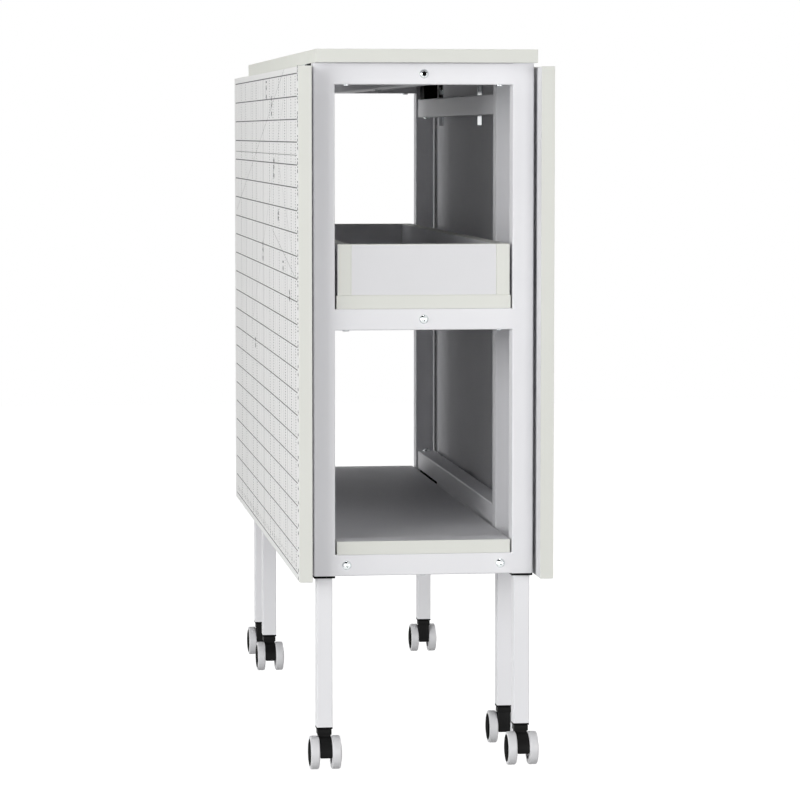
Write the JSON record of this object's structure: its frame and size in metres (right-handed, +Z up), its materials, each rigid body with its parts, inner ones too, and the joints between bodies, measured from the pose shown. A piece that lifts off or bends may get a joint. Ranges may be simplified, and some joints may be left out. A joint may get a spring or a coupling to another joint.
{
  "type": "folding sewing cutting table",
  "caption": "Narrow wheeled cutting table with a fixed top, drop leaves printed with measuring lines, swing-out gate legs, an open tray, a lower shelf and telescopic legs.",
  "frame": {"origin": "on the floor below the middle of the top, table folded", "axes": "+Z up, +Y along the table to its rear end, +X across the table to its right leaf"},
  "size_m": [0.2874, 0.914, 0.81],
  "materials": {
    "white_board": "melamine faced board, light grey white, satin",
    "white_steel": "white powder coat on square steel tube",
    "black_plastic": "black moulded plastic",
    "grey_tyre": "light grey tyres with black hub caps",
    "bright_bolt": "bright button head bolts",
    "zinc_steel": "zinc plated screws and pins"
  },
  "bodies": {
    "frame": {"top_panel": "white_board", "tray_floor": "white_board", "tray_walls": "white_board", "lower_shelf": "white_board", "post_front_left": "white_steel", "post_front_right": "white_steel", "post_rear_left": "white_steel", "post_rear_right": "white_steel", "end_rails": "white_steel", "top_beam": "white_steel", "mid_beam": "white_steel", "low_beams": "white_steel", "post_collars": "black_plastic", "gate_pivot_blocks": "black_plastic", "beam_inserts": "black_plastic", "frame_bolts": "bright_bolt", "gate_pivot_bolts": "bright_bolt", "panel_hinge_plates": "bright_bolt", "panel_screws": "zinc_steel", "hinge_screws": "zinc_steel", "hinge_pins": "zinc_steel", "leg_lock_screws": "zinc_steel"},
    "left_leaf": {"leaf_left": "white_board", "leaf_left_screws": "zinc_steel", "leaf_left_hinge_plates": "bright_bolt"},
    "right_leaf": {"leaf_right": "white_board", "leaf_right_screws": "zinc_steel", "leaf_right_hinge_plates": "bright_bolt"},
    "left_gate": {"gate_left_upright": "white_steel", "gate_left_arms": "white_steel", "gate_left_collar": "black_plastic", "gate_left_lock_screw": "zinc_steel"},
    "right_gate": {"gate_right_upright": "white_steel", "gate_right_arms": "white_steel", "gate_right_collar": "black_plastic", "gate_right_lock_screw": "zinc_steel"},
    "front_left_leg": {"leg_front_left": "white_steel", "plug_front_left": "black_plastic"},
    "front_left_caster": {"caster_front_left_housing": "black_plastic"},
    "front_left_wheels": {"caster_front_left_wheels": "grey_tyre"},
    "front_right_leg": {"leg_front_right": "white_steel", "plug_front_right": "black_plastic"},
    "front_right_caster": {"caster_front_right_housing": "black_plastic"},
    "front_right_wheels": {"caster_front_right_wheels": "grey_tyre"},
    "rear_left_leg": {"leg_rear_left": "white_steel", "plug_rear_left": "black_plastic"},
    "rear_left_caster": {"caster_rear_left_housing": "black_plastic"},
    "rear_left_wheels": {"caster_rear_left_wheels": "grey_tyre"},
    "rear_right_leg": {"leg_rear_right": "white_steel", "plug_rear_right": "black_plastic"},
    "rear_right_caster": {"caster_rear_right_housing": "black_plastic"},
    "rear_right_wheels": {"caster_rear_right_wheels": "grey_tyre"},
    "gate_left_leg": {"leg_gate_left": "white_steel", "plug_gate_left": "black_plastic"},
    "gate_left_caster": {"caster_gate_left_housing": "black_plastic"},
    "gate_left_wheels": {"caster_gate_left_wheels": "grey_tyre"},
    "gate_right_leg": {"leg_gate_right": "white_steel", "plug_gate_right": "black_plastic"},
    "gate_right_caster": {"caster_gate_right_housing": "black_plastic"},
    "gate_right_wheels": {"caster_gate_right_wheels": "grey_tyre"}
  },
  "joints": [
    {"name": "left_leaf_hinge", "type": "hinge", "parent": "frame", "child": "left_leaf", "pos_m": [-0.12575, 0, 0.792], "axis": [0, 1, 0], "range_deg": [0, 90]},
    {"name": "right_leaf_hinge", "type": "hinge", "parent": "frame", "child": "right_leaf", "pos_m": [0.12575, 0, 0.792], "axis": [0, -1, 0], "range_deg": [0, 90]},
    {"name": "left_gate_swing", "type": "hinge", "parent": "frame", "child": "left_gate", "pos_m": [-0.1125, -0.382, 0.5], "axis": [0, 0, 1], "range_deg": [0, 90]},
    {"name": "right_gate_swing", "type": "hinge", "parent": "frame", "child": "right_gate", "pos_m": [0.1125, 0.382, 0.5], "axis": [0, 0, 1], "range_deg": [0, 90]},
    {"name": "front_left_leg_height", "type": "slide", "parent": "frame", "child": "front_left_leg", "axis": [0, 0, 1], "range_m": [-0.1, 0.1]},
    {"name": "front_left_caster_swivel", "type": "hinge", "parent": "front_left_leg", "child": "front_left_caster", "pos_m": [-0.1125, -0.418, 0.045], "axis": [0, 0, 1], "continuous": true},
    {"name": "front_left_wheel_roll", "type": "hinge", "parent": "front_left_caster", "child": "front_left_wheels", "pos_m": [-0.1125, -0.428, 0.019], "axis": [1, 0, 0], "continuous": true},
    {"name": "front_right_leg_height", "type": "slide", "parent": "frame", "child": "front_right_leg", "axis": [0, 0, 1], "range_m": [-0.1, 0.1]},
    {"name": "front_right_caster_swivel", "type": "hinge", "parent": "front_right_leg", "child": "front_right_caster", "pos_m": [0.1125, -0.418, 0.045], "axis": [0, 0, 1], "continuous": true},
    {"name": "front_right_wheel_roll", "type": "hinge", "parent": "front_right_caster", "child": "front_right_wheels", "pos_m": [0.1125, -0.428, 0.019], "axis": [1, 0, 0], "continuous": true},
    {"name": "rear_left_leg_height", "type": "slide", "parent": "frame", "child": "rear_left_leg", "axis": [0, 0, 1], "range_m": [-0.1, 0.1]},
    {"name": "rear_left_caster_swivel", "type": "hinge", "parent": "rear_left_leg", "child": "rear_left_caster", "pos_m": [-0.1125, 0.418, 0.045], "axis": [0, 0, 1], "continuous": true},
    {"name": "rear_left_wheel_roll", "type": "hinge", "parent": "rear_left_caster", "child": "rear_left_wheels", "pos_m": [-0.1125, 0.428, 0.019], "axis": [1, 0, 0], "continuous": true},
    {"name": "rear_right_leg_height", "type": "slide", "parent": "frame", "child": "rear_right_leg", "axis": [0, 0, 1], "range_m": [-0.1, 0.1]},
    {"name": "rear_right_caster_swivel", "type": "hinge", "parent": "rear_right_leg", "child": "rear_right_caster", "pos_m": [0.1125, 0.418, 0.045], "axis": [0, 0, 1], "continuous": true},
    {"name": "rear_right_wheel_roll", "type": "hinge", "parent": "rear_right_caster", "child": "rear_right_wheels", "pos_m": [0.1125, 0.428, 0.019], "axis": [1, 0, 0], "continuous": true},
    {"name": "gate_left_leg_height", "type": "slide", "parent": "left_gate", "child": "gate_left_leg", "axis": [0, 0, 1], "range_m": [-0.1, 0.1]},
    {"name": "gate_left_caster_swivel", "type": "hinge", "parent": "gate_left_leg", "child": "gate_left_caster", "pos_m": [-0.1125, 0.296, 0.045], "axis": [0, 0, 1], "continuous": true},
    {"name": "gate_left_wheel_roll", "type": "hinge", "parent": "gate_left_caster", "child": "gate_left_wheels", "pos_m": [-0.1125, 0.286, 0.019], "axis": [1, 0, 0], "continuous": true},
    {"name": "gate_right_leg_height", "type": "slide", "parent": "right_gate", "child": "gate_right_leg", "axis": [0, 0, 1], "range_m": [-0.1, 0.1]},
    {"name": "gate_right_caster_swivel", "type": "hinge", "parent": "gate_right_leg", "child": "gate_right_caster", "pos_m": [0.1125, -0.296, 0.045], "axis": [0, 0, 1], "continuous": true},
    {"name": "gate_right_wheel_roll", "type": "hinge", "parent": "gate_right_caster", "child": "gate_right_wheels", "pos_m": [0.1125, -0.286, 0.019], "axis": [1, 0, 0], "continuous": true}
  ],
  "couplings": [
    {"joint": "left_gate_swing", "follows": "left_leaf_hinge", "ratio": 0.03},
    {"joint": "right_gate_swing", "follows": "right_leaf_hinge", "ratio": 0.03}
  ]
}
